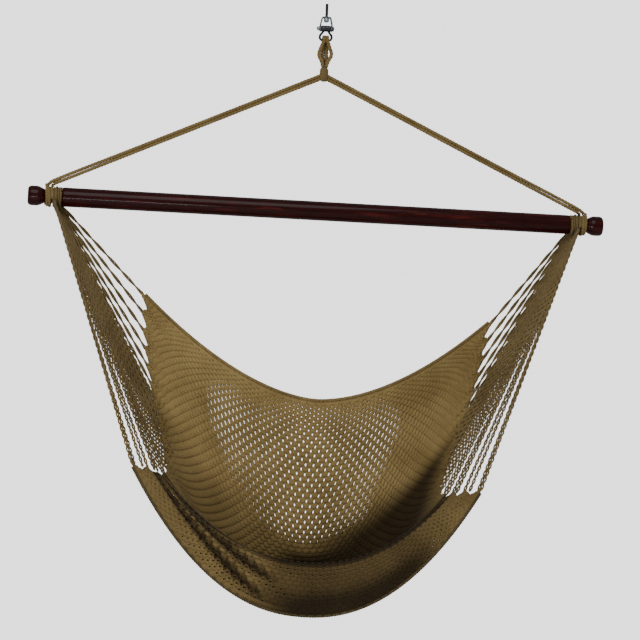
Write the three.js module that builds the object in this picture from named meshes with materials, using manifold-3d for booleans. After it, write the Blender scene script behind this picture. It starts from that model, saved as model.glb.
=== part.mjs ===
// A rope hammock chair: a turned spreader bar that hangs on a doubled rope bridle from a swivel,
// and a knotted net seat that hangs on two fans of thin cords from the grooves near the bar's ends.
// Millimetres, +Z up. X runs along the bar and -Y is the open front of the seat. The origin is the
// middle of the stud's top face, where a ceiling hook or beam holds the whole chair up.

import * as THREE from 'three';
import { mergeVertices } from 'three/addons/utils/BufferGeometryUtils.js';
import Module from 'manifold-3d';

const wasm = await Module();
wasm.setup();

// ---------------------------------------------------------------- driving dimensions

const GAP = 0.3;                  // clearance between pieces that touch on the real chair

const BAR_LENGTH = 1200;
const BAR_RADIUS = 20;
const BAR_Z = -433;               // centre line of the bar below the top of the stud
const KNOB_LENGTH = 35;           // rounded knob at each end of the bar
const NECK_RADIUS = 14;           // the groove that holds the ropes, inboard of the knob
const NECK_LENGTH = 35;
const BAR_SIDES = 18;

const STUD_RADIUS = 3.3;
const STUD_LENGTH = 39;
const YOKE_TOP_Z = -27;
const YOKE_SPLAY_Z = -44;         // the yoke's cheeks spread down to here and are parallel below
const YOKE_BOTTOM_Z = -58;
const YOKE_TOP_HALF = 10;
const YOKE_BOTTOM_HALF = 13.5;
const YOKE_STRIP = 3;             // thickness of the bent strip
const YOKE_DEPTH = 9;             // width of the strip, front to back
const WASHER_THICKNESS = 1.5;
const STUD_NUT_FLATS = 11;
const STUD_NUT_HEIGHT = 5.5;
const PIN_Z = -52;
const PIN_RADIUS = 2.75;
const PIN_HEAD_RADIUS = 5;
const PIN_HEAD_LENGTH = 3;
const PIN_NUT_FLATS = 8;
const PIN_NUT_LENGTH = 4;
const EYE_BARREL_RADIUS = 6.5;
const EYE_BARREL_HALF = 10;
const EYE_WIRE_RADIUS = 2.5;
const EYE_BOTTOM_Z = -77;         // centre of the eye's wire where the rope hangs on it
const EYE_HALF_WIDTH = 12.5;

const ROPE_RADIUS = 3.2;          // one strand of the doubled hanging rope
const ROPE_SIDES = 8;
const LOOP_BEND_RADIUS = 7.5;     // centre line of the rope over the eye's wire
const LOOP_FRONT_BOW = 10;        // the front legs bow out sideways, the back legs less
const LOOP_BACK_BOW = 0.6;
const SEIZING_RADIUS = 10;        // wrapping where the loop turns into the two bridle ropes
const SEIZING_TOP_Z = -133;
const SEIZING_BOTTOM_Z = -163;
const BRIDLE_APEX_Z = -151;       // where the doubled rope's centre line would meet x = 0
const BRIDLE_SLOPE = 0.4607;      // drop of the bridle per millimetre out to the side

const HITCH_RADIUS = 20.8;        // rope turns of the bridle round the neck, next to the knob
const CLEW_LOOP_RADIUS = 20.5;    // cord turns that carry the seat, next to the bar
const NECK_SPLIT = 0.54;          // share of the neck's length that the hitch takes

const CORD_RADIUS = 1.5;          // thin cord of the fans
const CORD_SIDES = 8;
const TEETH = 15;                 // cord pairs from each end of the bar to each side of the net
const CLEW_START_RADIUS = 26;
const CLEW_START_SPREAD = 23.4;   // the first and last pair start this far behind and in front
const CLEW_START_SHIFT = 6;       // and this far inboard and outboard of the clew loop's middle
const CLEW_TOP_HALF_GAP = 1.75;
const CLEW_LOW_HALF_GAP = 2.2;
const TOOTH_STANDOFF = 5;         // from the net's side edge to the turn of the cord, squarely

const NET_THICKNESS = 8;
const NET_ROWS = 26;
const NET_COLUMNS = 18;
const BACK_ROW_POWER = 1.75;      // each row rises from the middle as a power of the distance out
const FRONT_ROW_POWER = 2.2;
const EDGE_CORD_RADIUS = 3;
const EDGE_CORD_STANDOFF = 4;
const SEAT_TILT = 0.03;           // the empty seat hangs this much lower per mm to the right
const SEAT_DRIFT = 22;            // the back hangs this much further right than the front
const DRIFT_BALANCE = 0.7;        // share of the seat's length where that drift is zero

// Right-hand side edge of the net from its back corner to its front corner, measured from the
// bar's centre line. The left-hand edge is its mirror image, before the seat's drift.
const SIDE_EDGE = [
  [369, 58, -197],
  [363, 62, -253],
  [350, 60, -325],
  [329, 56, -400],
  [307, 50, -470],
  [291, 34, -535],
  [294, -11, -560],
  [318, -61, -556],
  [359, -101, -548],
];

// Middle line of the net at x = 0, as [y, z] from the bar's centre line: down the back, round the
// bottom of the seat, up to the front lip and down again to the edge that hangs in front.
const MIDDLE_LINE = [
  [24, -396],
  [36, -480],
  [46, -565],
  [52, -650],
  [50, -730],
  [24, -790],
  [-21, -806],
  [-58, -780],
  [-80, -742],
  [-102, -727],
  [-120, -745],
  [-126, -790],
  [-118, -829],
];

// ---------------------------------------------------------------- colours

const TAN_ROPE = { color: 0x7c6a44, roughness: 0.85, metalness: 0 };
const MAHOGANY = { color: 0x2a0d0a, roughness: 0.25, metalness: 0 };
const DARK_STEEL = { color: 0x2b2b2d, roughness: 0.45, metalness: 0.8 };
const ZINC_STEEL = { color: 0x8d979c, roughness: 0.35, metalness: 0.9 };

// ---------------------------------------------------------------- geometry helpers

// A smooth curve whose sections fall on its own points, so straight runs need few of them.
class KnotSpacedCurve extends THREE.CatmullRomCurve3 {
  getUtoTmapping(u) {
    return u;
  }
}

function polygon(radius, sides) {
  const points = [];
  for (let i = 0; i < sides; i += 1) {
    const angle = (2 * Math.PI * i) / sides;
    points.push(new THREE.Vector2(radius * Math.cos(angle), radius * Math.sin(angle)));
  }
  return new THREE.Shape(points);
}

function tubeThrough(points, radius, sides, stepsPerSpan) {
  const extrudePath = new KnotSpacedCurve(points, false, 'centripetal');
  const steps = (points.length - 1) * stepsPerSpan;
  return new THREE.ExtrudeGeometry(polygon(radius, sides), { steps, extrudePath });
}

// Turned shape about the X axis. The profile is a list of [x, radius].
function turnedAlongX(profile, sides) {
  const points = profile.map(([x, radius]) => new THREE.Vector2(radius, x));
  return new THREE.LatheGeometry(points, sides).rotateZ(-Math.PI / 2);
}

// Turned shape about the Z axis. The profile is a list of [z, radius].
function turnedAlongZ(profile, sides) {
  const points = profile.map(([z, radius]) => new THREE.Vector2(radius, z));
  return new THREE.LatheGeometry(points, sides).rotateX(Math.PI / 2);
}

// Closed ring profile between two radii, with its outer corners rounded off.
function ringProfile(start, end, inner, outer, corner) {
  return [
    [start, inner],
    [start, outer - corner],
    [start + corner, outer],
    [end - corner, outer],
    [end, outer - corner],
    [end, inner],
    [start, inner],
  ];
}

function toSolid(geometry) {
  const bare = geometry.clone();
  bare.deleteAttribute('normal');
  bare.deleteAttribute('uv');
  const merged = mergeVertices(bare, 1e-4);
  return new wasm.Manifold(new wasm.Mesh({
    numProp: 3,
    vertProperties: new Float32Array(merged.attributes.position.array),
    triVerts: new Uint32Array(merged.index.array),
  }));
}

function toGeometry(solid) {
  const mesh = solid.getMesh();
  const geometry = new THREE.BufferGeometry();
  geometry.setAttribute('position', new THREE.BufferAttribute(mesh.vertProperties, 3));
  geometry.setIndex(new THREE.BufferAttribute(mesh.triVerts, 1));
  geometry.computeVertexNormals();
  return geometry;
}

function hexNut(flats, height, holeRadius) {
  const shape = polygon(flats / Math.sqrt(3), 6);
  const hole = new THREE.Path();
  hole.absarc(0, 0, holeRadius, 0, 2 * Math.PI, true);
  shape.holes.push(hole);
  return new THREE.ExtrudeGeometry(shape, { depth: height, bevelEnabled: false, curveSegments: 8 });
}

function named(name, geometry, finish) {
  const mesh = new THREE.Mesh(geometry, new THREE.MeshStandardMaterial(finish));
  mesh.name = name;
  return mesh;
}

// ---------------------------------------------------------------- swivel hardware

function ceilingStud() {
  const chamfer = 0.7;
  return turnedAlongZ([
    [-STUD_LENGTH, 0],
    [-STUD_LENGTH, STUD_RADIUS - chamfer],
    [-STUD_LENGTH + chamfer, STUD_RADIUS],
    [0, STUD_RADIUS],
    [0, 0],
  ], 16);
}

function studWasher() {
  const top = YOKE_TOP_Z - YOKE_STRIP - GAP;
  const profile = [
    [top - WASHER_THICKNESS, STUD_RADIUS + GAP],
    [top - WASHER_THICKNESS, STUD_RADIUS + 3],
    [top, STUD_RADIUS + 3],
    [top, STUD_RADIUS + GAP],
    [top - WASHER_THICKNESS, STUD_RADIUS + GAP],
  ];
  return turnedAlongZ(profile, 16);
}

function studNut() {
  const top = YOKE_TOP_Z - YOKE_STRIP - WASHER_THICKNESS - 2 * GAP;
  const nut = hexNut(STUD_NUT_FLATS, STUD_NUT_HEIGHT, STUD_RADIUS + GAP);
  return nut.translate(0, 0, top - STUD_NUT_HEIGHT);
}

// A strip bent into an open trapezium, drilled for the stud and for the cross pin.
function swivelYoke() {
  const outline = new THREE.Shape();
  outline.moveTo(-YOKE_TOP_HALF, YOKE_TOP_Z);
  outline.lineTo(-YOKE_BOTTOM_HALF, YOKE_SPLAY_Z);
  outline.lineTo(-YOKE_BOTTOM_HALF, YOKE_BOTTOM_Z);
  outline.lineTo(-YOKE_BOTTOM_HALF + YOKE_STRIP, YOKE_BOTTOM_Z);
  outline.lineTo(-YOKE_BOTTOM_HALF + YOKE_STRIP, YOKE_SPLAY_Z);
  outline.lineTo(-YOKE_TOP_HALF + YOKE_STRIP, YOKE_TOP_Z - YOKE_STRIP);
  outline.lineTo(YOKE_TOP_HALF - YOKE_STRIP, YOKE_TOP_Z - YOKE_STRIP);
  outline.lineTo(YOKE_BOTTOM_HALF - YOKE_STRIP, YOKE_SPLAY_Z);
  outline.lineTo(YOKE_BOTTOM_HALF - YOKE_STRIP, YOKE_BOTTOM_Z);
  outline.lineTo(YOKE_BOTTOM_HALF, YOKE_BOTTOM_Z);
  outline.lineTo(YOKE_BOTTOM_HALF, YOKE_SPLAY_Z);
  outline.lineTo(YOKE_TOP_HALF, YOKE_TOP_Z);
  const strip = new THREE.ExtrudeGeometry(outline, { depth: YOKE_DEPTH, bevelEnabled: false });
  strip.rotateX(Math.PI / 2).translate(0, YOKE_DEPTH / 2, 0);
  const holeLength = 4 * YOKE_BOTTOM_HALF;
  const studHole = new THREE.CylinderGeometry(STUD_RADIUS + GAP, STUD_RADIUS + GAP, 12, 16);
  studHole.rotateX(Math.PI / 2).translate(0, 0, YOKE_TOP_Z);
  const pinHole = new THREE.CylinderGeometry(PIN_RADIUS + GAP, PIN_RADIUS + GAP, holeLength, 16);
  pinHole.rotateZ(Math.PI / 2).translate(0, 0, PIN_Z);
  return toGeometry(toSolid(strip).subtract(toSolid(studHole)).subtract(toSolid(pinHole)));
}

function yokePin() {
  const headFace = YOKE_BOTTOM_HALF + GAP;
  const tip = -(YOKE_BOTTOM_HALF + PIN_NUT_LENGTH + 2);
  return turnedAlongX([
    [tip, 0],
    [tip, PIN_RADIUS],
    [headFace, PIN_RADIUS],
    [headFace, PIN_HEAD_RADIUS],
    [headFace + PIN_HEAD_LENGTH, PIN_HEAD_RADIUS - 1],
    [headFace + PIN_HEAD_LENGTH, 0],
  ], 16).translate(0, 0, PIN_Z);
}

function pinNut() {
  const nut = hexNut(PIN_NUT_FLATS, PIN_NUT_LENGTH, PIN_RADIUS + GAP).rotateY(Math.PI / 2);
  return nut.translate(-YOKE_BOTTOM_HALF - GAP - PIN_NUT_LENGTH, 0, PIN_Z);
}

// A barrel that turns on the cross pin, with a bent wire eye below it for the rope.
function swivelEye() {
  const shoulder = EYE_BARREL_RADIUS - 1;
  const barrel = turnedAlongX([
    [-EYE_BARREL_HALF, 0],
    [-EYE_BARREL_HALF, shoulder],
    [-EYE_BARREL_HALF + 1, EYE_BARREL_RADIUS],
    [EYE_BARREL_HALF - 1, EYE_BARREL_RADIUS],
    [EYE_BARREL_HALF, shoulder],
    [EYE_BARREL_HALF, 0],
  ], 16).translate(0, 0, PIN_Z);
  const half = [
    [4.5, PIN_Z - 4],
    [8, PIN_Z - 9.5],
    [EYE_HALF_WIDTH - 1, PIN_Z - 14],
    [EYE_HALF_WIDTH, EYE_BOTTOM_Z + 6.5],
    [EYE_HALF_WIDTH - 2, EYE_BOTTOM_Z + 2],
    [5.5, EYE_BOTTOM_Z],
  ];
  const left = half.map(([x, z]) => new THREE.Vector3(-x, 0, z));
  const right = half.map(([x, z]) => new THREE.Vector3(x, 0, z)).reverse();
  const wire = tubeThrough([...left, ...right], EYE_WIRE_RADIUS, 8, 2);
  const boreRadius = PIN_RADIUS + GAP;
  const bore = new THREE.CylinderGeometry(boreRadius, boreRadius, 4 * EYE_BARREL_HALF, 16);
  bore.rotateZ(Math.PI / 2).translate(0, 0, PIN_Z);
  return toGeometry(toSolid(barrel).add(toSolid(wire)).subtract(toSolid(bore)));
}

// ---------------------------------------------------------------- hanging loop and bridle

// One leg of a hanging loop, from the seizing up to the eye's wire.
function loopLeg(sideSign, faceSign, bow) {
  const inset = ROPE_RADIUS + GAP / 2;
  const bottom = SEIZING_TOP_Z + 3 * GAP;
  const points = [];
  for (const share of [0, 0.2, 0.45, 0.75, 1]) {
    const x = sideSign * (inset + bow * Math.sin(Math.PI * share) ** 2);
    const y = faceSign * (inset + (LOOP_BEND_RADIUS - inset) * share);
    points.push(new THREE.Vector3(x, y, bottom + (EYE_BOTTOM_Z - bottom) * share));
  }
  return points;
}

function hangingLoop(sideSign) {
  const inset = ROPE_RADIUS + GAP / 2;
  const over = [];
  for (const angle of [45, 90, 135]) {
    const turn = THREE.MathUtils.degToRad(angle);
    const y = -LOOP_BEND_RADIUS * Math.cos(turn);
    over.push(new THREE.Vector3(sideSign * inset, y, EYE_BOTTOM_Z + LOOP_BEND_RADIUS * Math.sin(turn)));
  }
  const front = loopLeg(sideSign, -1, LOOP_FRONT_BOW);
  const back = loopLeg(sideSign, 1, LOOP_BACK_BOW).reverse();
  return tubeThrough([...front, ...over, ...back], ROPE_RADIUS, ROPE_SIDES, 2);
}

function apexSeizing() {
  const lip = 2;
  return turnedAlongZ([
    [SEIZING_BOTTOM_Z, 0],
    [SEIZING_BOTTOM_Z, SEIZING_RADIUS - lip],
    [SEIZING_BOTTOM_Z + lip, SEIZING_RADIUS],
    [SEIZING_TOP_Z - lip, SEIZING_RADIUS],
    [SEIZING_TOP_Z, SEIZING_RADIUS - lip],
    [SEIZING_TOP_Z, 0],
  ], 16);
}

// A point on the bridle, "lift" above its centre line and square to it.
function bridlePoint(sideSign, x, lift) {
  const slopeAngle = Math.atan(BRIDLE_SLOPE);
  const outward = x + lift * Math.sin(slopeAngle);
  const z = BRIDLE_APEX_Z - BRIDLE_SLOPE * x + lift * Math.cos(slopeAngle);
  return new THREE.Vector3(sideSign * outward, 0, z);
}

// The lower strand runs straight on to the hitch; the upper one bends down over its outer side.
function bridleRope(sideSign, isUpper) {
  const lift = (isUpper ? 1 : -1) * (ROPE_RADIUS + GAP / 2);
  const startX = SEIZING_RADIUS + (isUpper ? 2 : 5.5);
  const landX = neckX(0.75);
  const points = [startX, landX / 3, (2 * landX) / 3].map((x) => bridlePoint(sideSign, x, lift));
  if (isUpper) {
    points.push(bridlePoint(sideSign, neckX(0.42), lift));
    points.push(bridlePoint(sideSign, neckX(0.68), lift - 1.2));
    points.push(bridlePoint(sideSign, neckX(0.84), lift - 4));
  } else {
    points.push(bridlePoint(sideSign, neckX(0.55), lift));
  }
  return tubeThrough(points, ROPE_RADIUS, ROPE_SIDES, isUpper ? 2 : 1);
}

// ---------------------------------------------------------------- spreader bar

// Distance from the bar's middle, at a share of the neck's length going outwards.
function neckX(share) {
  return BAR_LENGTH / 2 - KNOB_LENGTH - NECK_LENGTH * (1 - share);
}

function spreaderBar() {
  const half = BAR_LENGTH / 2;
  const profile = [
    [neckX(0) - 3, BAR_RADIUS],
    [neckX(0), BAR_RADIUS - 2],
    [neckX(0), NECK_RADIUS],
    [neckX(1), NECK_RADIUS],
    [half - KNOB_LENGTH + 11, BAR_RADIUS - 0.5],
    [half - KNOB_LENGTH + 16, BAR_RADIUS + 0.5],
    [half - 6, BAR_RADIUS + 0.5],
    [half - 1.5, BAR_RADIUS - 2],
    [half, BAR_RADIUS - 5],
    [half, 0],
  ];
  const mirrored = profile.map(([x, radius]) => [-x, radius]).reverse();
  return turnedAlongX([...mirrored, ...profile], BAR_SIDES).translate(0, 0, BAR_Z);
}

function neckRing(sideSign, fromShare, toShare, radius) {
  const inner = Math.min(neckX(fromShare) * sideSign, neckX(toShare) * sideSign);
  const outer = Math.max(neckX(fromShare) * sideSign, neckX(toShare) * sideSign);
  const profile = ringProfile(inner + GAP, outer - GAP, NECK_RADIUS + GAP, radius, 2.5);
  return turnedAlongX(profile, 16);
}

// ---------------------------------------------------------------- net seat, from the bar's centre

const sideEdge = new THREE.CatmullRomCurve3(SIDE_EDGE.map((point) => new THREE.Vector3(...point)));
const middleLine = new THREE.CatmullRomCurve3(
  MIDDLE_LINE.map(([y, z]) => new THREE.Vector3(0, y, z)),
);

// u runs from -1 at the left edge to 1 at the right edge, v from 0 at the back to 1 at the front.
function netPoint(u, v) {
  const side = sideEdge.getPointAt(v);
  const middle = middleLine.getPointAt(v);
  const rise = Math.abs(u) ** THREE.MathUtils.lerp(BACK_ROW_POWER, FRONT_ROW_POWER, v);
  const y = THREE.MathUtils.lerp(middle.y, side.y, rise);
  const z = THREE.MathUtils.lerp(middle.z, side.z, rise);
  const drift = SEAT_DRIFT * (DRIFT_BALANCE - v);
  return new THREE.Vector3(side.x * u + drift, y, z - SEAT_TILT * side.x * u);
}

function netAlongU(u, v) {
  const step = 0.01;
  return netPoint(Math.min(1, u + step), v).sub(netPoint(Math.max(-1, u - step), v)).normalize();
}

function netAlongV(u, v) {
  const step = 0.01;
  return netPoint(u, Math.min(1, v + step)).sub(netPoint(u, Math.max(0, v - step))).normalize();
}

// The net as one closed slab of even thickness over the curved surface.
function netSlab() {
  const columns = NET_COLUMNS + 1;
  const rows = NET_ROWS + 1;
  const positions = [];
  for (const face of [0.5, -0.5]) {
    for (let row = 0; row < rows; row += 1) {
      for (let column = 0; column < columns; column += 1) {
        const u = (2 * column) / NET_COLUMNS - 1;
        const v = row / NET_ROWS;
        const normal = netAlongU(u, v).cross(netAlongV(u, v)).normalize();
        positions.push(...netPoint(u, v).addScaledVector(normal, face * NET_THICKNESS));
      }
    }
  }
  const index = [];
  const quad = (a, b, c, d) => index.push(a, b, c, a, c, d);
  const at = (row, column, face) => (face * rows + row) * columns + column;
  for (let row = 0; row < NET_ROWS; row += 1) {
    for (let column = 0; column < NET_COLUMNS; column += 1) {
      quad(at(row, column, 0), at(row, column + 1, 0), at(row + 1, column + 1, 0), at(row + 1, column, 0));
      quad(at(row, column, 1), at(row + 1, column, 1), at(row + 1, column + 1, 1), at(row, column + 1, 1));
    }
  }
  for (let column = 0; column < NET_COLUMNS; column += 1) {
    quad(at(0, column, 1), at(0, column + 1, 1), at(0, column + 1, 0), at(0, column, 0));
    const last = NET_ROWS;
    quad(at(last, column, 0), at(last, column + 1, 0), at(last, column + 1, 1), at(last, column, 1));
  }
  for (let row = 0; row < NET_ROWS; row += 1) {
    const last = NET_COLUMNS;
    quad(at(row, 0, 0), at(row + 1, 0, 0), at(row + 1, 0, 1), at(row, 0, 1));
    quad(at(row, last, 1), at(row + 1, last, 1), at(row + 1, last, 0), at(row, last, 0));
  }
  const geometry = new THREE.BufferGeometry();
  geometry.setAttribute('position', new THREE.Float32BufferAttribute(positions, 3));
  geometry.setIndex(index);
  geometry.computeVertexNormals();
  return geometry;
}

// The stout cord along the back edge (v = 0) or the front edge (v = 1).
function edgeCord(v) {
  const outward = v === 0 ? -1 : 1;
  const inset = 0.985;
  const points = [];
  for (let column = 0; column <= NET_COLUMNS; column += 1) {
    const u = inset * ((2 * column) / NET_COLUMNS - 1);
    const row = netAlongU(u, v);
    const square = netAlongV(u, v).addScaledVector(row, -netAlongV(u, v).dot(row)).normalize();
    points.push(netPoint(u, v).addScaledVector(square, outward * EDGE_CORD_STANDOFF));
  }
  return tubeThrough(points, EDGE_CORD_RADIUS, CORD_SIDES, 1);
}

// Where a pair of cords starts below the neck: the pairs for the back of the net start furthest
// back and a little further inboard, so that the fan opens without crossing itself.
function clewStart(share) {
  const y = CLEW_START_SPREAD * (1 - 2 * share);
  const z = -Math.sqrt(CLEW_START_RADIUS ** 2 - y ** 2);
  return new THREE.Vector3(neckX(NECK_SPLIT / 2) + CLEW_START_SHIFT * (2 * share - 1), y, z);
}

// One pair of cords: down from the neck, round a tooth of the net's side edge, and back up.
function clewCord(sideSign, tooth) {
  const share = tooth / (TEETH - 1);
  const start = clewStart(share);
  start.x *= sideSign;
  const edge = netPoint(sideSign, share);
  const along = start.clone().sub(edge).normalize();
  const edgeway = netAlongV(sideSign, share);
  const slant = along.clone().cross(edgeway).length();
  const turn = edge.clone().addScaledVector(along, TOOTH_STANDOFF / slant);
  const across = edgeway.addScaledVector(along, -edgeway.dot(along)).normalize();
  const topOffset = new THREE.Vector3(sideSign * CLEW_TOP_HALF_GAP, 0, 0);
  const low = turn.clone().addScaledVector(along, 3.5);
  const points = [
    start.clone().sub(topOffset),
    low.clone().addScaledVector(across, -CLEW_LOW_HALF_GAP),
    turn.clone().addScaledVector(across, -0.6 * CLEW_LOW_HALF_GAP).addScaledVector(along, 0.6),
    turn.clone().addScaledVector(across, 0.6 * CLEW_LOW_HALF_GAP).addScaledVector(along, 0.6),
    low.clone().addScaledVector(across, CLEW_LOW_HALF_GAP),
    start.clone().add(topOffset),
  ];
  return tubeThrough(points, CORD_RADIUS, CORD_SIDES, 1);
}

// ---------------------------------------------------------------- assembly

const hammock = new THREE.Group();

hammock.add(named('ceiling_stud', ceilingStud(), DARK_STEEL));
hammock.add(named('stud_washer', studWasher(), ZINC_STEEL));
hammock.add(named('stud_nut', studNut(), ZINC_STEEL));
hammock.add(named('swivel_yoke', swivelYoke(), ZINC_STEEL));
hammock.add(named('yoke_pin', yokePin(), DARK_STEEL));
hammock.add(named('pin_nut', pinNut(), ZINC_STEEL));
hammock.add(named('swivel_eye', swivelEye(), DARK_STEEL));
hammock.add(named('apex_seizing', apexSeizing(), TAN_ROPE));
hammock.add(named('spreader_bar', spreaderBar(), MAHOGANY));

const seat = new THREE.Group();
seat.position.z = BAR_Z;
seat.add(named('net', netSlab(), TAN_ROPE));
seat.add(named('back_edge_cord', edgeCord(0), TAN_ROPE));
seat.add(named('front_edge_cord', edgeCord(1), TAN_ROPE));

for (const [side, sideSign] of [['left', -1], ['right', 1]]) {
  hammock.add(named(`${side}_hanging_loop`, hangingLoop(sideSign), TAN_ROPE));
  hammock.add(named(`${side}_bridle_rope_upper`, bridleRope(sideSign, true), TAN_ROPE));
  hammock.add(named(`${side}_bridle_rope_lower`, bridleRope(sideSign, false), TAN_ROPE));
  const hitch = named(`${side}_hitch`, neckRing(sideSign, NECK_SPLIT, 1, HITCH_RADIUS), TAN_ROPE);
  hitch.position.z = BAR_Z;
  hammock.add(hitch);
  seat.add(named(`${side}_clew_loop`, neckRing(sideSign, 0, NECK_SPLIT, CLEW_LOOP_RADIUS), TAN_ROPE));
  for (let tooth = 0; tooth < TEETH; tooth += 1) {
    const number = String(tooth + 1).padStart(2, '0');
    seat.add(named(`${side}_clew_cord_${number}`, clewCord(sideSign, tooth), TAN_ROPE));
  }
}

hammock.add(seat);

export default hammock;
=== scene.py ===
"""A rope hammock chair: glossy spreader bar, laid rope bridle, cord fans and a knotted net seat."""

import math

import bpy
import numpy as np
from mathutils import Matrix, Vector


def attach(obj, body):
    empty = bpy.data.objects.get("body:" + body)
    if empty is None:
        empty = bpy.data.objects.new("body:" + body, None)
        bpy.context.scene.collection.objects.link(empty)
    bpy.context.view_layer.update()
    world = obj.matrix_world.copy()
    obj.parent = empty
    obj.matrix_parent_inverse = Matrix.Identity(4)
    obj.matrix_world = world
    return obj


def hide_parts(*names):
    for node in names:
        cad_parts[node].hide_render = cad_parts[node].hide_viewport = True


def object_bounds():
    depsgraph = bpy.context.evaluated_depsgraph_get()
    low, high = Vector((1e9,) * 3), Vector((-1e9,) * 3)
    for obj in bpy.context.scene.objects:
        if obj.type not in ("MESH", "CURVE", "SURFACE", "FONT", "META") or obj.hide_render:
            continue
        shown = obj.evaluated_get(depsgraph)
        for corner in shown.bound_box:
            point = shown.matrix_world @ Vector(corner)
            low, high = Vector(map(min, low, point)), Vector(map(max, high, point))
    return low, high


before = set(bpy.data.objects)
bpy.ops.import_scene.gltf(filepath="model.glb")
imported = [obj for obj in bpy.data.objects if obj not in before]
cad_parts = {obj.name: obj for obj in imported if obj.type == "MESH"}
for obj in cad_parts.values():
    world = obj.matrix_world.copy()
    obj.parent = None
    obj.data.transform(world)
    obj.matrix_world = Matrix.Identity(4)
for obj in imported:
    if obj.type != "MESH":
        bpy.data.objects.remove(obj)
cad_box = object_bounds()

MM = 0.001

# ------------------------------------------------------------------ measures, in millimetres

BAR_LENGTH = 1200
BAR_RADIUS = 20
BAR_Z = -433
KNOB_LENGTH = 35
NECK_RADIUS = 14
NECK_LENGTH = 35
NECK_SPLIT = 0.54  # share of the neck under the clew loop; the hitch has the rest

STUD_RADIUS = 3.3
STUD_LENGTH = 39
THREAD_PITCH = 1.25
THREAD_DEPTH = 0.55
STUD_NUT_FLATS = 11
STUD_NUT_HEIGHT = 5.5
WASHER_OVERHANG = 3
WASHER_THICKNESS = 1.5
YOKE_TOP_Z = -27
YOKE_SPLAY_Z = -44  # the yoke's sides run straight down from here
YOKE_BOTTOM_Z = -58
YOKE_TOP_HALF = 10
YOKE_BOTTOM_HALF = 13.5
YOKE_STRIP = 3
YOKE_DEPTH = 9
PIN_Z = -52
PIN_RADIUS = 2.75
PIN_HEAD_RADIUS = 5
PIN_HEAD_LENGTH = 3
PIN_TAIL = 6  # how far the pin stands out beyond the yoke, through its nut
PIN_NUT_FLATS = 8
PIN_NUT_HEIGHT = 4
EYE_BARREL_RADIUS = 6.5
EYE_BARREL_HALF = 10
EYE_WIRE_RADIUS = 2.5
EYE_BOTTOM_Z = -77
EYE_HALF_WIDTH = 12.5
CLEARANCE = 0.3

ROPE_RADIUS = 3.2
ROPE_LAY = 21  # length of one full turn of a strand
EDGE_CORD_LAY = 17
STRANDS = 3
STRAND_SIDES = 7
STRAND_RADIUS = 0.56  # as a share of the rope's radius
STRAND_ORBIT = 0.48  # from the rope's middle to a strand's, as the same share
STEPS_PER_LAY = 11
ROPE_FUZZ = 0.5  # loose fibres round a rope
LOOP_FUZZ = 0.9  # and where it opens up over the eye
LOOP_BEND_RADIUS = 7.5
LOOP_FRONT_BOW = 10
LOOP_BACK_BOW = 0.6
SEIZING_RADIUS = 10
SEIZING_TOP_Z = -133
SEIZING_BOTTOM_Z = -163
WHIPPING_RADIUS = 1.6
WHIPPING_TURNS = 11
BRIDLE_APEX_Z = -151
BRIDLE_SLOPE = 0.4607
HITCH_RADIUS = 20.8
CLEW_LOOP_RADIUS = 20.5

CORD_RADIUS = 1.5
FUZZ = 0.35  # loose fibres round a cord
TEETH = 15
CLEW_START_RADIUS = 26
CLEW_START_SPREAD = 23.4
CLEW_START_SHIFT = 6
TOOTH_REACH = 3  # how far a cord's bend lies inside the net's edge
CLEW_TOP_HALF_GAP = 1.75  # between a cord's two runs, at the neck
LOOSE_HALF_GAP = 1.9  # and at the net's edge
CLOSE_HALF_GAP = 2.2
LOOSE_TWIST = 90  # length of one turn of a cord's two runs about each other
CLOSE_TWIST = 30
STEPS_PER_TWIST = 9
FULL_FROM = 0.4  # the cords from this share of the side edge on have two loops
LOOPS_APART = 0.014  # half the distance between those two, as a share of the side edge

NET_ROWS = 78
NET_COLUMNS = 51
BACK_ROW_POWER = 1.75  # a row hangs in a curve of this power: the higher, the flatter its middle
FRONT_ROW_POWER = 2.2
SEAT_TILT = 0.03  # the empty seat hangs this much lower per millimetre to the right
SEAT_DRIFT = 22  # the back hangs this much further right than the front
DRIFT_BALANCE = 0.7  # share of the seat's length where that drift is zero
SCALLOP = 21  # how far the net's side edge falls back between two teeth
SCALLOP_POWER = 14  # the higher, the less of the net the scallops reach
CREASE_DEPTH = 12  # of the two folds in the front lip
CREASE_WIDTH = 0.022  # as a share of the net's length
NET_CORD_HALF_DEPTH = 1.6
NET_CORD_SIDES = 6
NET_HOOK = 0.16  # how far a bend of the zigzag reaches past its line, as a share of a row
NET_BEND = 0.13  # half the width of a bend, as a share of a column
NET_BEND_LIFT = 1.25  # how far the bends stand out of the net's surface, up and down by turns
EDGE_CORD_RADIUS = 3
EDGE_CORD_STANDOFF = 4  # from the net's edge line to the cord's middle
EDGE_CORD_POINTS = 73
EDGE_CORD_REACH = 0.985  # as a share of the net's half width
EDGE_REACH = 3.2  # how far the outermost bends reach round the edge cords
HEM_HALF_WIDTH = 6
HEM_POINTS = 160
HEM_PLACES = (0.006, 0.994)  # as shares of the net's length, from the back

# The net's right-hand side edge and its middle line, from the bar's centre line.
SIDE_EDGE = [
    (369, 58, -197),
    (363, 62, -253),
    (350, 60, -325),
    (329, 56, -400),
    (307, 50, -470),
    (291, 34, -535),
    (294, -11, -560),
    (318, -61, -556),
    (359, -101, -548),
]
MIDDLE_LINE = [
    (24, -396),
    (36, -480),
    (46, -565),
    (52, -650),
    (50, -730),
    (24, -790),
    (-21, -806),
    (-58, -780),
    (-80, -742),
    (-102, -727),
    (-120, -745),
    (-126, -790),
    (-118, -829),
]


def neck_x(share):
    """Distance from the bar's middle at a share of the neck's length, going outwards."""
    return BAR_LENGTH / 2 - KNOB_LENGTH - NECK_LENGTH * (1 - share)


# ------------------------------------------------------------------ camera

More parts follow.
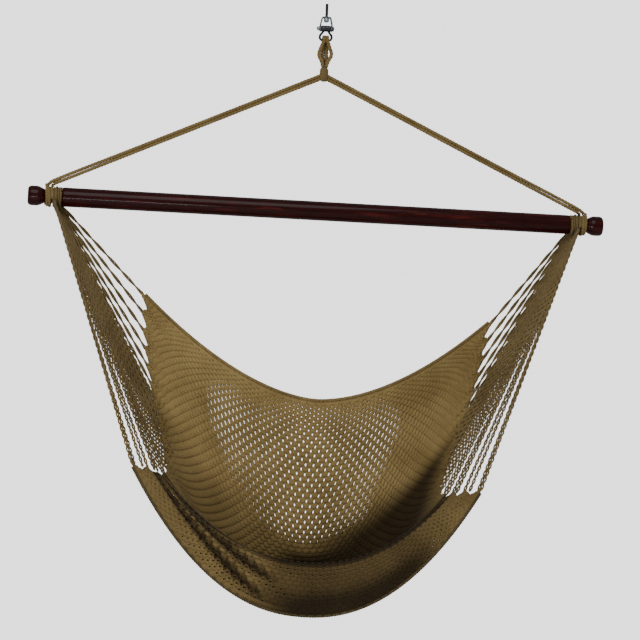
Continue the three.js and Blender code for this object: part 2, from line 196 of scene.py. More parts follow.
# The camera that took the photo, in degrees, metres and millimetres of lens. It was found from
# the bar's length and slope, the bridle's apex and the net's corners.
CAMERA_AZIMUTH = 6.0
CAMERA_ELEVATION = -3.1
CAMERA_ROLL = 2.6
CAMERA_DISTANCE = 6.525
CAMERA_LENS = 177.2
CAMERA_SENSOR = 36
CAMERA_TARGET = Vector((0.0150, 0, -0.6590))


def add_camera():
    azimuth = math.radians(CAMERA_AZIMUTH)
    elevation = math.radians(CAMERA_ELEVATION)
    forward = Vector(
        (
            math.sin(azimuth) * math.cos(elevation),
            math.cos(azimuth) * math.cos(elevation),
            -math.sin(elevation),
        )
    )
    data = bpy.data.cameras.new("camera")
    data.lens = CAMERA_LENS
    data.sensor_width = CAMERA_SENSOR
    camera = bpy.data.objects.new("camera", data)
    bpy.context.scene.collection.objects.link(camera)
    turn = forward.to_track_quat("-Z", "Y").to_matrix().to_4x4()
    roll = Matrix.Rotation(math.radians(CAMERA_ROLL), 4, "Z")
    place = CAMERA_TARGET - CAMERA_DISTANCE * forward
    camera.matrix_world = Matrix.Translation(place) @ turn @ roll
    bpy.context.scene.camera = camera


add_camera()


# ------------------------------------------------------------------ curves

NEARLY_ZERO = 1e-12


def unit(vectors):
    lengths = np.linalg.norm(vectors, axis=-1, keepdims=True)
    return vectors / np.maximum(lengths, NEARLY_ZERO)


def step_lengths(points):
    return np.linalg.norm(np.diff(points, axis=0), axis=1)


def reach_along(points):
    """How far along a path each of its points lies."""
    return np.concatenate([[0], np.cumsum(step_lengths(points))])


class SmoothLine:
    """A centripetal curve through its points, measured along its own length."""

    def __init__(self, points, per_span=40):
        knots = np.array(points, float)
        padded = np.vstack([2 * knots[0] - knots[1], knots, 2 * knots[-1] - knots[-2]])
        spans = [self.span(padded[i : i + 4], per_span) for i in range(len(knots) - 1)]
        self.points = np.vstack([*spans, knots[-1:]])
        self.reach = reach_along(self.points)
        self.length = self.reach[-1]

    @staticmethod
    def span(four, count):
        """Points of the cubic between the middle two of four knots."""
        before, start, end, after = four
        first, second, third = (
            math.sqrt(np.linalg.norm(b - a)) for a, b in zip(four[:-1], four[1:])
        )
        leave = (start - before) / first - (end - before) / (first + second)
        leave = (leave + (end - start) / second) * second
        arrive = (end - start) / second - (after - start) / (second + third)
        arrive = (arrive + (after - end) / third) * second
        t = np.linspace(0, 1, count, endpoint=False)[:, None]
        cubic = 2 * start - 2 * end + leave + arrive
        square = -3 * start + 3 * end - 2 * leave - arrive
        return start + t * (leave + t * (square + t * cubic))

    def at(self, share):
        where = np.asarray(share, float) * self.length
        return np.stack([np.interp(where, self.reach, column) for column in self.points.T], -1)

    def evenly(self, step):
        count = max(3, int(math.ceil(self.length / step)) + 1)
        return self.at(np.linspace(0, 1, count))


def travelling_frames(points):
    """Two unit directions square to a path that turn as little as possible along it."""
    tangents = unit(np.gradient(points, axis=0))
    starts_along_y = abs(tangents[0][1]) >= 0.9
    guide = np.array([1.0, 0.0, 0.0]) if starts_along_y else np.array([0.0, 1.0, 0.0])
    normals = np.empty_like(points)
    for i, tangent in enumerate(tangents):
        guide = guide - tangent * guide.dot(tangent)
        guide /= np.linalg.norm(guide)
        normals[i] = guide
    return normals, np.cross(tangents, normals)


# ------------------------------------------------------------------ meshes

class Body:
    """Vertices and faces gathered from several closed shells, in millimetres."""

    def __init__(self):
        self.vertices = []
        self.faces = []
        self.count = 0

    def add(self, vertices, faces):
        self.vertices.append(np.asarray(vertices, float))
        self.faces += [tuple(int(i) + self.count for i in face) for face in faces]
        self.count += len(vertices)

    def rings(self, rings, closed=False):
        """Skins a stack of rings, each an equal loop of points, and caps its two ends."""
        rings = np.asarray(rings, float)
        stack, sides = rings.shape[:2]
        last = stack if closed else stack - 1
        row = np.arange(last)[:, None]
        side = np.arange(sides)[None, :]
        above = (row + 1) % stack
        beside = (side + 1) % sides
        quads = np.stack(
            [
                row * sides + side,
                row * sides + beside,
                above * sides + beside,
                above * sides + side,
            ],
            -1,
        ).reshape(-1, 4)
        faces = quads.tolist()
        if not closed:
            faces.append(list(range(sides))[::-1])
            faces.append(list(range((stack - 1) * sides, stack * sides)))
        self.add(rings.reshape(-1, 3), faces)

    def tube(self, points, radius, sides):
        normals, sideways = travelling_frames(points)
        self.rings(around(points, normals, sideways, radius, sides))

    def make(self, name, material, slot_name, body, *nodes):
        mesh = bpy.data.meshes.new(name)
        mesh.from_pydata((np.vstack(self.vertices) * MM).tolist(), [], self.faces)
        mesh.materials.append(material)
        mesh.shade_smooth()
        mesh.update()
        piece = bpy.data.objects.new(name, mesh)
        bpy.context.scene.collection.objects.link(piece)
        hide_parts(*nodes)
        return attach(piece, body)


def around(points, normals, sideways, radius, sides, depth=None):
    """Rings of points about each point of a path. A radius is one number or one for each."""
    angles = np.linspace(0, 2 * math.pi, sides, endpoint=False)
    width = np.broadcast_to(radius, len(points))[:, None, None]
    depth = width if depth is None else depth
    spokes = depth * normals[:, None] * np.cos(angles)[None, :, None]
    spokes = spokes + width * sideways[:, None] * np.sin(angles)[None, :, None]
    return points[:, None] + spokes


def laid_rope(body, points, radius, lay):
    """A rope of strands laid round each other along a path."""
    fine = SmoothLine(points, per_span=6).evenly(lay / STEPS_PER_LAY)
    normals, sideways = travelling_frames(fine)
    travelled = reach_along(fine)
    for strand in range(STRANDS):
        turn = 2 * math.pi * (travelled / lay + strand / STRANDS)
        offset = normals * np.cos(turn)[:, None] + sideways * np.sin(turn)[:, None]
        body.tube(fine + radius * STRAND_ORBIT * offset, radius * STRAND_RADIUS, STRAND_SIDES)


def turned(body, profile, axis, centre=(0, 0, 0), segments=64):
    """A turned solid. The profile is a list of (distance along the axis, radius)."""
    along = np.array([p[0] for p in profile], float)
    radii = np.array([p[1] for p in profile], float)
    points = np.zeros((len(profile), 3))
    points[:, axis] = along
    points += np.array(centre, float)
    first = np.zeros_like(points)
    second = np.zeros_like(points)
    first[:, (axis + 1) % 3] = 1
    second[:, (axis + 2) % 3] = 1
    body.rings(around(points, first, second, radii, segments))


def softened(profile, radius, steps=4):
    """The profile with each inner corner rounded off over a given distance."""
    most = 0.45  # of each side, so that two corners never meet
    points = [np.array(p, float) for p in profile]
    rounded = [points[0]]
    for before, corner, after in zip(points[:-2], points[1:-1], points[2:]):
        back = min(radius, np.linalg.norm(before - corner) * most)
        ahead = min(radius, np.linalg.norm(after - corner) * most)
        enter = corner + unit(before - corner) * back
        leave = corner + unit(after - corner) * ahead
        for t in np.linspace(0, 1, steps + 1):
            rounded.append((1 - t) ** 2 * enter + 2 * t * (1 - t) * corner + t**2 * leave)
    rounded.append(points[-1])
    return rounded


# ------------------------------------------------------------------ materials

WHITE = (1.0, 1.0, 1.0)
FADED = (0.68, 0.66, 0.60)
# Painted shade: the tone colours take where other surfaces stand close by.
PAINTED_OCCLUSION_SHADE = (0.3, 0.28, 0.24)
# Painted shade: the darkest tone the net takes in its pocket, on its lip and in its folds.
PAINTED_SHADE_COLOUR = (0.1, 0.085, 0.055)
FLECKS = (0.45, 0.4, 0.4)

# Each material's dark, middle and light tone.
ROPE_TONES = ((0.05, 0.031, 0.009), (0.125, 0.083, 0.027), (0.25, 0.178, 0.07))
# Painted shade: the rope's tones made darker for the front edge cord under the lip.
PAINTED_SHADE_ROPE_TONES = ((0.02, 0.014, 0.006), (0.05, 0.035, 0.014), (0.1, 0.073, 0.032))
CORD_TONES = ((0.035, 0.022, 0.007), (0.095, 0.064, 0.022), (0.21, 0.15, 0.062))
NET_TONES = ((0.06, 0.038, 0.011), (0.16, 0.107, 0.035), (0.32, 0.228, 0.09))
WOOD_TONES = ((0.01, 0.001, 0.001), (0.02, 0.0018, 0.0014), (0.07, 0.008, 0.005))

# How far off another surface still shelters a rope and darkens its colour with painted shade, in
# metres.
ROPE_SHELTER = 0.02
NET_SHELTER = 0.14


def grey(value):
    return (value,) * 3


def new_material(name):
    material = bpy.data.materials.new(name)
    material.use_nodes = True
    nodes = material.node_tree.nodes
    return material, nodes, material.node_tree.links, nodes["Principled BSDF"]


def noise(nodes, links, vector, scale, detail, roughness):
    node = nodes.new("ShaderNodeTexNoise")
    node.inputs["Scale"].default_value = scale
    node.inputs["Detail"].default_value = detail
    node.inputs["Roughness"].default_value = roughness
    links.new(vector, node.inputs["Vector"])
    return node.outputs["Fac"]


def ramp(nodes, links, factor, *stops):
    node = nodes.new("ShaderNodeValToRGB")
    elements = node.color_ramp.elements
    while len(elements) < len(stops):
        elements.new(0.5)
    for element, (position, colour) in zip(elements, stops):
        element.position = position
        element.color = (*colour, 1)
    links.new(factor, node.inputs["Fac"])
    return node.outputs["Color"]


def mixed(nodes, links, share, first, second, blend="MIX"):
    node = nodes.new("ShaderNodeMix")
    node.data_type = "RGBA"
    node.blend_type = blend
    node.inputs[0].default_value = share
    links.new(first, node.inputs[6])
    links.new(second, node.inputs[7])
    return node.outputs[2]


def multiplied(nodes, links, first, second):
    return mixed(nodes, links, 1.0, first, second, "MULTIPLY")


def bumped(nodes, links, height, strength, distance):
    node = nodes.new("ShaderNodeBump")
    node.inputs["Strength"].default_value = strength
    node.inputs["Distance"].default_value = distance
    links.new(height, node.inputs["Height"])
    return node.outputs["Normal"]


def stretched(nodes, links, vector, scale):
    node = nodes.new("ShaderNodeMapping")
    node.inputs["Scale"].default_value = scale
    links.new(vector, node.inputs["Vector"])
    return node.outputs["Vector"]


def plied(nodes, links, vector, scale):
    """Slanting bands, like the plies of a twisted cord."""
    wave = nodes.new("ShaderNodeTexWave")
    wave.wave_type = "BANDS"
    wave.bands_direction = "DIAGONAL"
    wave.inputs["Scale"].default_value = scale
    wave.inputs["Distortion"].default_value = 3.0
    wave.inputs["Detail"].default_value = 2.0
    wave.inputs["Detail Scale"].default_value = 2.0
    links.new(vector, wave.inputs["Vector"])
    return wave.outputs["Fac"]


def add_painted_occlusion_shade(nodes, links, colour, reach):
    """The colour, with painted shade from an occlusion node where other surfaces stand close by."""
    shelter = nodes.new("ShaderNodeAmbientOcclusion")
    shelter.samples = 6
    shelter.inputs["Distance"].default_value = reach
    occlusion_shade_ramp = ramp(nodes, links, shelter.outputs["AO"], (0.05, PAINTED_OCCLUSION_SHADE), (0.5, WHITE))
    return multiplied(nodes, links, colour, occlusion_shade_ramp)


def add_painted_shade(nodes, links, colour):
    """The colour, darkened by the painted shade values that the mesh carries."""
    layer = nodes.new("ShaderNodeAttribute")
    layer.attribute_name = "painted_shade"
    painted_darkness = ramp(nodes, links, layer.outputs["Fac"], (0.0, WHITE), (1.0, PAINTED_SHADE_COLOUR))
    return multiplied(nodes, links, colour, painted_darkness)


def rope_material(name, tones, ply_scale, shelter_reach, has_painted_shade=False):
    """Dry twisted cord: fine plies and fibres, with slow changes of tone along it."""
    dark, mid, light = tones
    material, nodes, links, shader = new_material(name)
    place = nodes.new("ShaderNodeTexCoord").outputs["Object"]
    fibre = noise(nodes, links, place, scale=1400, detail=2, roughness=0.7)
    slow = noise(nodes, links, place, scale=14, detail=3, roughness=0.55)
    bands = plied(nodes, links, place, ply_scale)
    plies = ramp(nodes, links, bands, (0.0, dark), (0.35, mid), (1.0, light))
    hairs = ramp(nodes, links, fibre, (0.3, mid), (0.75, light))
    patches = ramp(nodes, links, slow, (0.3, FADED), (0.7, WHITE))
    worn = multiplied(nodes, links, mixed(nodes, links, 0.4, plies, hairs), patches)
    # Painted shade where other surfaces stand close by.
    colour = add_painted_occlusion_shade(nodes, links, worn, shelter_reach)
    # Painted shade, from values that the mesh carries.
    if has_painted_shade:
        colour = add_painted_shade(nodes, links, colour)
    links.new(colour, shader.inputs["Base Color"])
    rough = ramp(nodes, links, fibre, (0.2, grey(0.72)), (0.8, grey(0.95)))
    links.new(rough, shader.inputs["Roughness"])
    height = mixed(nodes, links, 0.5, plies, hairs)
    normal = bumped(nodes, links, height, strength=0.8, distance=0.0006)
    links.new(normal, shader.inputs["Normal"])
    shader.inputs["Sheen Weight"].default_value = 0.05
    shader.inputs["Specular IOR Level"].default_value = 0.12
    return material


def mahogany_material():
    """Dark red-brown stain under gloss varnish, with grain along the bar."""
    dark, mid, light = WOOD_TONES
    material, nodes, links, shader = new_material("mahogany")
    place = nodes.new("ShaderNodeTexCoord").outputs["Object"]
    along = stretched(nodes, links, place, (1.2, 14, 14))
    grain = noise(nodes, links, along, scale=9, detail=6, roughness=0.65)
    finer = stretched(nodes, links, place, (4, 90, 90))
    pores = noise(nodes, links, finer, scale=12, detail=2, roughness=0.5)
    base = ramp(nodes, links, grain, (0.3, dark), (0.55, mid), (0.75, light))
    flecks = ramp(nodes, links, pores, (0.36, FLECKS), (0.5, WHITE))
    links.new(multiplied(nodes, links, base, flecks), shader.inputs["Base Color"])
    rough = ramp(nodes, links, grain, (0.3, grey(0.22)), (0.8, grey(0.34)))
    links.new(rough, shader.inputs["Roughness"])
    normal = bumped(nodes, links, pores, strength=0.15, distance=0.0002)
    links.new(normal, shader.inputs["Normal"])
    shader.inputs["Specular IOR Level"].default_value = 0.04
    shader.inputs["Coat Weight"].default_value = 0.12
    shader.inputs["Coat Roughness"].default_value = 0.07
    return material


def metal_material(name, low, high, roughness):
    """Plain metal with blotches between two tones and fine scratches."""
    material, nodes, links, shader = new_material(name)
    place = nodes.new("ShaderNodeTexCoord").outputs["Object"]
    blotch = noise(nodes, links, place, scale=260, detail=4, roughness=0.6)
    drawn_out = stretched(nodes, links, place, (1, 1, 9))
    scratch = noise(nodes, links, drawn_out, scale=900, detail=2, roughness=0.5)
    base = ramp(nodes, links, blotch, (0.3, low), (0.7, high))
    links.new(base, shader.inputs["Base Color"])
    rough = ramp(nodes, links, scratch, (0.3, grey(roughness)), (0.8, grey(roughness + 0.18)))
    links.new(rough, shader.inputs["Roughness"])
    normal = bumped(nodes, links, scratch, strength=0.12, distance=0.0001)
    links.new(normal, shader.inputs["Normal"])
    shader.inputs["Metallic"].default_value = 1.0
    return material


rope = rope_material("laid_rope", ROPE_TONES, 160, ROPE_SHELTER)
# Painted shade: the laid rope again in darker tones, for the front edge cord.
rope_in_painted_shade = rope_material("rope_in_painted_shade", PAINTED_SHADE_ROPE_TONES, 160, ROPE_SHELTER)
cord = rope_material("thin_cord", CORD_TONES, 260, ROPE_SHELTER)
# The net's colour carries painted shade in its pocket, on its lip and in its folds.
net_cord = rope_material("net_cord", NET_TONES, 240, NET_SHELTER, has_painted_shade=True)
mahogany = mahogany_material()
dark_steel = metal_material("dark_steel", (0.015, 0.015, 0.016), (0.05, 0.05, 0.053), 0.28)
worn_zinc = metal_material("worn_zinc", (0.04, 0.045, 0.05), (0.13, 0.15, 0.165), 0.3)
zinc = metal_material("zinc_plate", (0.2, 0.25, 0.27), (0.38, 0.45, 0.48), 0.24)


# ------------------------------------------------------------------ hanging loops and bridle

def loop_leg(side, face, bow):
    """One run of a hanging loop, from the whipping up to the eye, bowed out to the side."""
    inset = ROPE_RADIUS + CLEARANCE / 2
    bottom = SEIZING_TOP_Z + 3 * CLEARANCE
    points = []
    for share in (0, 0.2, 0.45, 0.75, 1):
        x = side * (inset + bow * math.sin(math.pi * share) ** 2)
        y = face * (inset + (LOOP_BEND_RADIUS - inset) * share)
        points.append((x, y, bottom + (EYE_BOTTOM_Z - bottom) * share))
    return points


def hanging_loop(side):
    """Up in front, over the eye's wire and down behind."""
    inset = ROPE_RADIUS + CLEARANCE / 2
    over = []
    for angle in (45, 90, 135):
        turn = math.radians(angle)
        y = -LOOP_BEND_RADIUS * math.cos(turn)
        over.append((side * inset, y, EYE_BOTTOM_Z + LOOP_BEND_RADIUS * math.sin(turn)))
    front = loop_leg(side, -1, LOOP_FRONT_BOW)
    back = loop_leg(side, 1, LOOP_BACK_BOW)[::-1]
    return SmoothLine([*front, *over, *back]).evenly(3)


def bridle_point(side, x, lift):
    """A point on the slanting line from the apex to the bar's end, or so far above it."""
    slope = math.atan(BRIDLE_SLOPE)
    outward = x + lift * math.sin(slope)
    z = BRIDLE_APEX_Z - BRIDLE_SLOPE * x + lift * math.cos(slope)
    return (side * outward, 0, z)


def bridle_path(side, is_upper):
    """From inside the whipping to the hitch. The upper rope bends down over the hitch."""
    lift = (1 if is_upper else -1) * (ROPE_RADIUS + CLEARANCE / 2)
    land = neck_x(0.75)
    inside = SEIZING_RADIUS - 6  # the rope runs on into the whipping
    points = [bridle_point(side, x, lift) for x in (inside, land / 3, 2 * land / 3)]
    if is_upper:
        points.append(bridle_point(side, neck_x(0.42), lift))
        points.append(bridle_point(side, neck_x(0.68), lift - 1.2))
        points.append(bridle_point(side, neck_x(0.84), lift - 4))
    else:
        points.append(bridle_point(side, neck_x(0.55), lift))
    return SmoothLine(points).evenly(5)


def add_rope(name, path, radius, lay, body_name, fuzz=ROPE_FUZZ, material=rope):
    body = Body()
    laid_rope(body, path, radius + fuzz, lay)
    piece = body.make(name + "_rope", material, "tan_rope", body_name, name)


def whipping_core(radius):
    """A barrel that fills the whipping, narrower at both ends."""
    shoulder = 5
    profile = [
        (SEIZING_BOTTOM_Z, 1.0),
        (SEIZING_BOTTOM_Z, radius - 3),
        (SEIZING_BOTTOM_Z + shoulder, radius),
        (SEIZING_TOP_Z - shoulder, radius),
        (SEIZING_TOP_Z, radius - 2.5),
        (SEIZING_TOP_Z, 1.0),
    ]
    return softened(profile, 3)


def whipping_path(radius):
    """Close turns from the bottom to the top, narrower at both ends."""
    end = 2.2  # from the first and the last turn to the whipping's ends
    share = np.linspace(0, 1, WHIPPING_TURNS * 20)
    angle = 2 * math.pi * WHIPPING_TURNS * share
    swell = radius - 0.5 - 2.2 * np.abs(2 * share - 1) ** 5
    height = SEIZING_BOTTOM_Z + end + share * (SEIZING_TOP_Z - SEIZING_BOTTOM_Z - 2 * end)
    return np.stack([swell * np.cos(angle), swell * np.sin(angle), height], -1)


def add_seizing():
    core_radius = SEIZING_RADIUS - WHIPPING_RADIUS
    body = Body()
    turned(body, whipping_core(core_radius), axis=2, segments=32)
    body.tube(whipping_path(core_radius), WHIPPING_RADIUS, 7)
    body.make("whipping", cord, "tan_rope", "hanger", "apex_seizing")


# ------------------------------------------------------------------ windings round the neck

WINDING_STEPS = 28  # in one turn
WINDING_WAVER = 0.35  # how unevenly the turns lie, in millimetres


def winding(side, from_share, to_share, radius, turns, start_angle, arrives=0):
    """A path that winds round the neck of the bar. It can arrive from further out."""
    count = int(abs(turns) * WINDING_STEPS) + 1
    share = np.linspace(0, 1, count)
    angle = start_angle + 2 * math.pi * turns * share
    x = side * (neck_x(from_share) + (neck_x(to_share) - neck_x(from_share)) * share)
    wander = radius + WINDING_WAVER * np.sin(5 * angle + start_angle)
    wander = wander + arrives * np.exp(-5 * share * abs(turns))
    return np.stack([x, -wander * np.sin(angle), BAR_Z + wander * np.cos(angle)], -1)


def add_hitch(side_name, side):
    """The bridle's two ropes wound round the neck, the first inwards and the second back."""
    body = Body()
    middle = (NECK_RADIUS + CLEARANCE + HITCH_RADIUS) / 2
    inner = NECK_SPLIT + 0.03
    outer = 1 - 0.07
    first = winding(side, outer, inner, middle, turns=2.3, start_angle=0, arrives=6.5)
    second = winding(side, inner, outer, middle + 1.6, turns=-1.4, start_angle=0, arrives=5)
    laid_rope(body, first, ROPE_RADIUS, ROPE_LAY)
    laid_rope(body, second, ROPE_RADIUS, ROPE_LAY)
    body.make(f"{side_name}_hitch_rope", rope, "tan_rope", "hanger", f"{side_name}_hitch")


def add_clew_loop(side_name, side):
    """Two layers of thin cord round the neck, and a slanting turn over them."""
    lowest = NECK_RADIUS + CLEARANCE + CORD_RADIUS
    highest = CLEW_LOOP_RADIUS - CORD_RADIUS
    near = 0.02
    far = NECK_SPLIT - 0.01
    layers = [
        winding(side, near, far, lowest, turns=5.3, start_angle=0),
        winding(side, far, near, highest, turns=5.0, start_angle=0.9),
        winding(side, near + 0.06, far - 0.06, highest + 1.8, turns=1.35, start_angle=1.2),
    ]
    body = Body()
    for layer in layers:
        body.tube(layer, CORD_RADIUS, 7)
    name = f"{side_name}_clew_loop"
    body.make(name + "_cord", cord, "tan_rope", "seat", name)


# ------------------------------------------------------------------ net surface

side_edge = SmoothLine(SIDE_EDGE)
middle_line = SmoothLine(MIDDLE_LINE)


def smooth_step(value):
    value = np.clip(value, 0, 1)
    return value * value * (3 - 2 * value)


def rising(value, start, span):
    """0 up to a start, then smoothly up to 1 over a span."""
    return smooth_step((value - start) / span)


def falling(value, end, span):
    """0 from an end on, and smoothly up to 1 over a span before it."""
    return smooth_step((end - value) / span)


def bell(value, middle, width):
    return np.exp(-(((value - middle) / width) ** 2))


def net_point(u, v):
    """u runs from -1 at the left edge to 1 at the right, v from 0 at the back to 1 in front."""
    u, v = np.broadcast_arrays(np.asarray(u, float), np.asarray(v, float))
    side = side_edge.at(v)
    middle = middle_line.at(v)
    power = BACK_ROW_POWER + (FRONT_ROW_POWER - BACK_ROW_POWER) * v
    rise = np.abs(u) ** power
    x = side[..., 0] * u
    drift = SEAT_DRIFT * (DRIFT_BALANCE - v)
    y = middle[..., 0] + (side[..., 1] - middle[..., 0]) * rise
    z = middle[..., 1] + (side[..., 2] - middle[..., 1]) * rise
    return np.stack([x + drift, y, BAR_Z + z - SEAT_TILT * x], -1)


def net_along(u, v, du, dv):
    """The unit direction in which the net's surface runs for a small change of u or v."""
    step = 0.01
    ahead = net_point(np.clip(u + step * du, -1, 1), np.clip(v + step * dv, 0, 1))
    behind = net_point(np.clip(u - step * du, -1, 1), np.clip(v - step * dv, 0, 1))
    return unit(ahead - behind)


def net_normal(u, v):
    return unit(np.cross(net_along(u, v, 1, 0), net_along(u, v, 0, 1)))


def crease(u, v, left_v, end_v, end_u):
    """How deep a point lies in a fold that slants over the front lip from the left-hand side."""
    share = np.clip((u + 1) / (end_u + 1), 0, 1)
    middle = left_v + (end_v - left_v) * share**1.3
    return bell(v, middle, CREASE_WIDTH) * falling(u, end_u + 0.15, 0.45)


def folds(u, v):
    """The two folds that part the front lip's left-hand side into three ridges."""
    outer = crease(u, v, left_v=0.875, end_v=0.99, end_u=-0.15)
    inner = crease(u, v, left_v=0.83, end_v=0.925, end_u=-0.1)
    return np.maximum(outer, inner * rising(v, 0.835, 0.02))


def gathered(u, v):
    """The net's real surface: its edge falls back between the teeth and its lip is folded."""
    points = net_point(u, v)
    between_teeth = 1 - np.abs(1 - 2 * (((TEETH - 1) * v) % 1))
    pull = np.abs(u) ** SCALLOP_POWER * between_teeth
    points = points - (SCALLOP * np.sign(u) * pull)[..., None] * net_along(u, v, 1, 0)
    return points + (CREASE_DEPTH * folds(u, v))[..., None] * net_normal(u, v)


# ------------------------------------------------------------------ net cords

HALF_COLUMNS = 2 * NET_COLUMNS  # the zigzag bends at each
LIP_TOP = 0.855  # the share of the net's length where the front lip turns over


def spread_by(density, low, high):
    """A function from 0..1 to low..high whose steps are shorter where the density is higher."""
    places = np.linspace(low, high, 2000)
    weight = np.cumsum(density(places))
    weight = (weight - weight[0]) / (weight[-1] - weight[0])
    return lambda share: np.interp(share, weight, places)


def row_density(v):
    """Tight rows along the back edge, open rows in the middle of the back."""
    return 1 + 0.9 * bell(v, 0, 0.075) - 0.22 * bell(v, 0.3, 0.16)


def column_density(u):
    """Columns crowd together towards the sides."""
    return 1 + 0.9 * np.abs(u) ** 7 - 0.12 * bell(u, 0, 0.5)


row_at = spread_by(row_density, 0, 1)
column_at = spread_by(column_density, -1, 1)


def cover(u, v):
    """How far the cords close the net's holes: small holes in the back, almost none elsewhere."""
    seat = 0.44 * rising(v, 0.4, 0.09)
    back_edge = 0.32 * bell(v, 0, 0.09)
    steep = -0.16 * bell(np.abs(u + 0.05), 0.5, 0.2) * falling(v, 0.8, 0.1)
    side = 0.12 * rising(np.abs(u), 0.7, 0.2)
    return np.minimum(0.79 + seat + back_edge + steep + side, 1.2)


def pocket_painted_shade(u, v):
    """Painted shade down in the seat, most of all on the right and along the bottom."""
    is_seat = v < LIP_TOP
    right_end = falling(u, 1.05, 0.25)
    rightward = rising(u, -0.1, 0.5) * right_end
    pocket = rising(v, 0.34, 0.13) * (0.35 + 0.65 * rightward) * is_seat
    bottom = rising(v, 0.44, 0.04) * rising(u, -0.3, 0.3) * right_end * is_seat
    return np.maximum(pocket, bottom)


def lip_painted_shade(u, v):
    """Painted shade on the front lip, less towards its two ends, and darkest along its hem."""
    left_end = 0.5 * falling(u, -0.05, 0.35)
    right_end = 0.5 * rising(u, 0.55, 0.4)
    lip = 0.75 * rising(v, 0.8, 0.03) * (1 - left_end - right_end)
    hem = 0.3 * rising(v, 0.9, 0.08) * rising(u, -0.5, 0.6) * falling(u, 0.9, 0.3)
    return lip + hem


def painted_shade(u, v):
    """How much painted shade the net carries: in the pocket, on the lip, in its folds and along its
    top.
    """
    # Painted shade in the lip's folds and in a line along its top.
    dark_lines = np.maximum(1.5 * folds(u, v), bell(v, 0.808, 0.022))
    return np.clip(np.maximum(pocket_painted_shade(u, v) + lip_painted_shade(u, v), dark_lines), 0, 1)


def zigzag(row):
    """One row's bends, two points each: their columns, their rows and which are at the top."""
    column = np.arange(HALF_COLUMNS + 1)
    is_top = np.repeat((column + row) % 2 == 0, 2)
    columns = np.stack([column - NET_BEND, column + NET_BEND], -1).ravel()
    columns = columns.clip(0, HALF_COLUMNS)
    rows = np.where(is_top, row - NET_HOOK, row + 1 + NET_HOOK).clip(0, NET_ROWS)
    return columns, rows, is_top


def hole_size(columns, rows):
    """The width and the height that the net's holes have at some places."""
    u = column_at(columns / HALF_COLUMNS)
    v = row_at(rows / NET_ROWS)
    right = net_point(column_at((columns + 0.5) / HALF_COLUMNS), v)
    left = net_point(column_at((columns - 0.5) / HALF_COLUMNS), v)
    below = net_point(u, row_at((rows + 0.5) / NET_ROWS))
    above = net_point(u, row_at((rows - 0.5) / NET_ROWS))
    return np.linalg.norm(right - left, axis=1), np.linalg.norm(below - above, axis=1)


def net_row(row):
    """The rings of one row of zigzag cord and the painted shade on each ring."""
    columns, rows, is_top = zigzag(row)
    u = column_at(columns / HALF_COLUMNS)
    v = row_at(rows / NET_ROWS)
    width, height = hole_size(columns, rows)
    half_width = cover(u, v) * width * height / np.hypot(width, height)
    normals = net_normal(u, v)
    lift = NET_BEND_LIFT * np.where(is_top, 1.0, -1.0)
    reach = EDGE_REACH * ((rows == NET_ROWS).astype(float) - (rows == 0))
    points = gathered(u, v) + lift[:, None] * normals
    points = points + reach[:, None] * net_along(u, v, 0, 1)
    tangents = unit(np.gradient(points, axis=0))
    across = unit(normals - tangents * np.sum(normals * tangents, -1, keepdims=True))
    inward = np.cross(tangents, across)
    rings = around(points, across, inward, half_width, NET_CORD_SIDES, NET_CORD_HALF_DEPTH)
    return rings, painted_shade(u, v)


def hem(v):
    """The rings of the flat cord that closes an edge of the net and the painted shade on each ring.
    """
    u = np.linspace(-1, 1, HEM_POINTS)
    normals = net_normal(u, v)
    down = net_along(u, v, 0, 1)
    points = net_point(u, v)
    rings = around(points, normals, down, HEM_HALF_WIDTH, NET_CORD_SIDES, NET_CORD_HALF_DEPTH)
    return rings, painted_shade(u, v)


def add_net():
    """Rows of zigzag cord between two hems. Each bend hooks through a bend of the next row."""
    body = Body()
    painted_shading = []
    cords = [net_row(row) for row in range(NET_ROWS)] + [hem(v) for v in HEM_PLACES]
    for rings, ring_painted_shade in cords:
        body.rings(rings)
        painted_shading.append(np.repeat(ring_painted_shade, NET_CORD_SIDES))
    piece = body.make("net_mesh", net_cord, "tan_rope", "seat", "net")
    # Painted shade, one value for each point, which darkens the net's colour.
    layer = piece.data.attributes.new("painted_shade", "FLOAT", "POINT")
    layer.data.foreach_set("value", np.concatenate(painted_shading))


def edge_path(v):
    """The route of the thicker cord outside the net's back edge (v = 0) or front edge (v = 1)."""
    u = EDGE_CORD_REACH * np.linspace(-1, 1, EDGE_CORD_POINTS)
    outward = -1 if v == 0 else 1
    row = net_along(u, v, 1, 0)
    down = net_along(u, v, 0, 1)
    square = unit(down - row * np.sum(row * down, -1, keepdims=True))
    return net_point(u, v) + outward * EDGE_CORD_STANDOFF * square


# ------------------------------------------------------------------ clew cords

TWIST_END = 3.5  # the two runs' middle line stops this far above the cord's bend
ROOT_SHARE = 0.26  # a cord starts inside its clew loop, this share of the way to the neck's middle
ROOT_HALF_GAP = 1.6


def clew_start(side, share):
    """Where a cord leaves the clew loop, on the underside of the neck."""
    y = CLEW_START_SPREAD * (1 - 2 * share)
    z = -math.sqrt(CLEW_START_RADIUS**2 - y**2)
    x = neck_x(NECK_SPLIT / 2) + CLEW_START_SHIFT * (2 * share - 1)
    return np.array([side * x, y, z + BAR_Z])


def cord_bend(turn, along, across):
    """Three points round the bottom of a loop."""
    return [
        turn - 1.5 * across + 0.6 * along,
        turn - 0.5 * along,
        turn + 1.5 * across + 0.6 * along,
    ]


